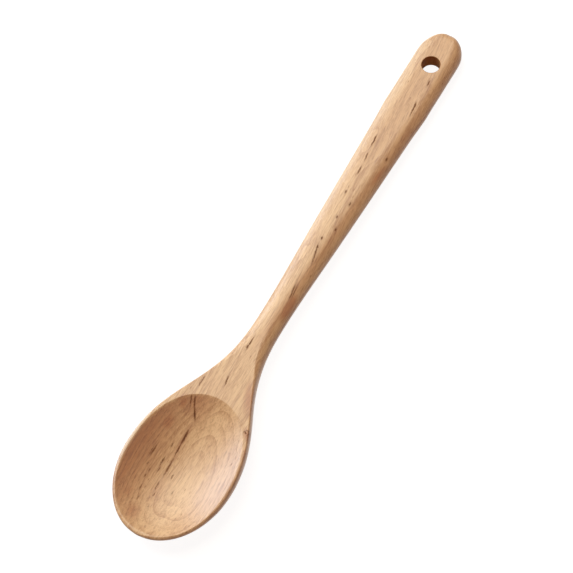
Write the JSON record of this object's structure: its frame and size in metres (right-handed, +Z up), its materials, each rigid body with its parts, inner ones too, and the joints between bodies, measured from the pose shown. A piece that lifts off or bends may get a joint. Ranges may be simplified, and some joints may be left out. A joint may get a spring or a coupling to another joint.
{
  "type": "wooden spoon",
  "caption": "One-piece wooden cooking spoon with an egg-shaped bowl, flat shoulder, narrow neck and oval handle with a round hanging hole.",
  "frame": {"origin": "middle of the bounding box's underside, on the table that the spoon lies on with its bowl open upwards", "axes": "+X from the bowl's tip to the end of the handle, +Z up out of the bowl, +Y across the spoon"},
  "size_m": [0.2999, 0.056, 0.0123],
  "materials": {
    "wood": "satin"
  },
  "bodies": {
    "root": {"spoon": "wood"}
  },
  "joints": []
}
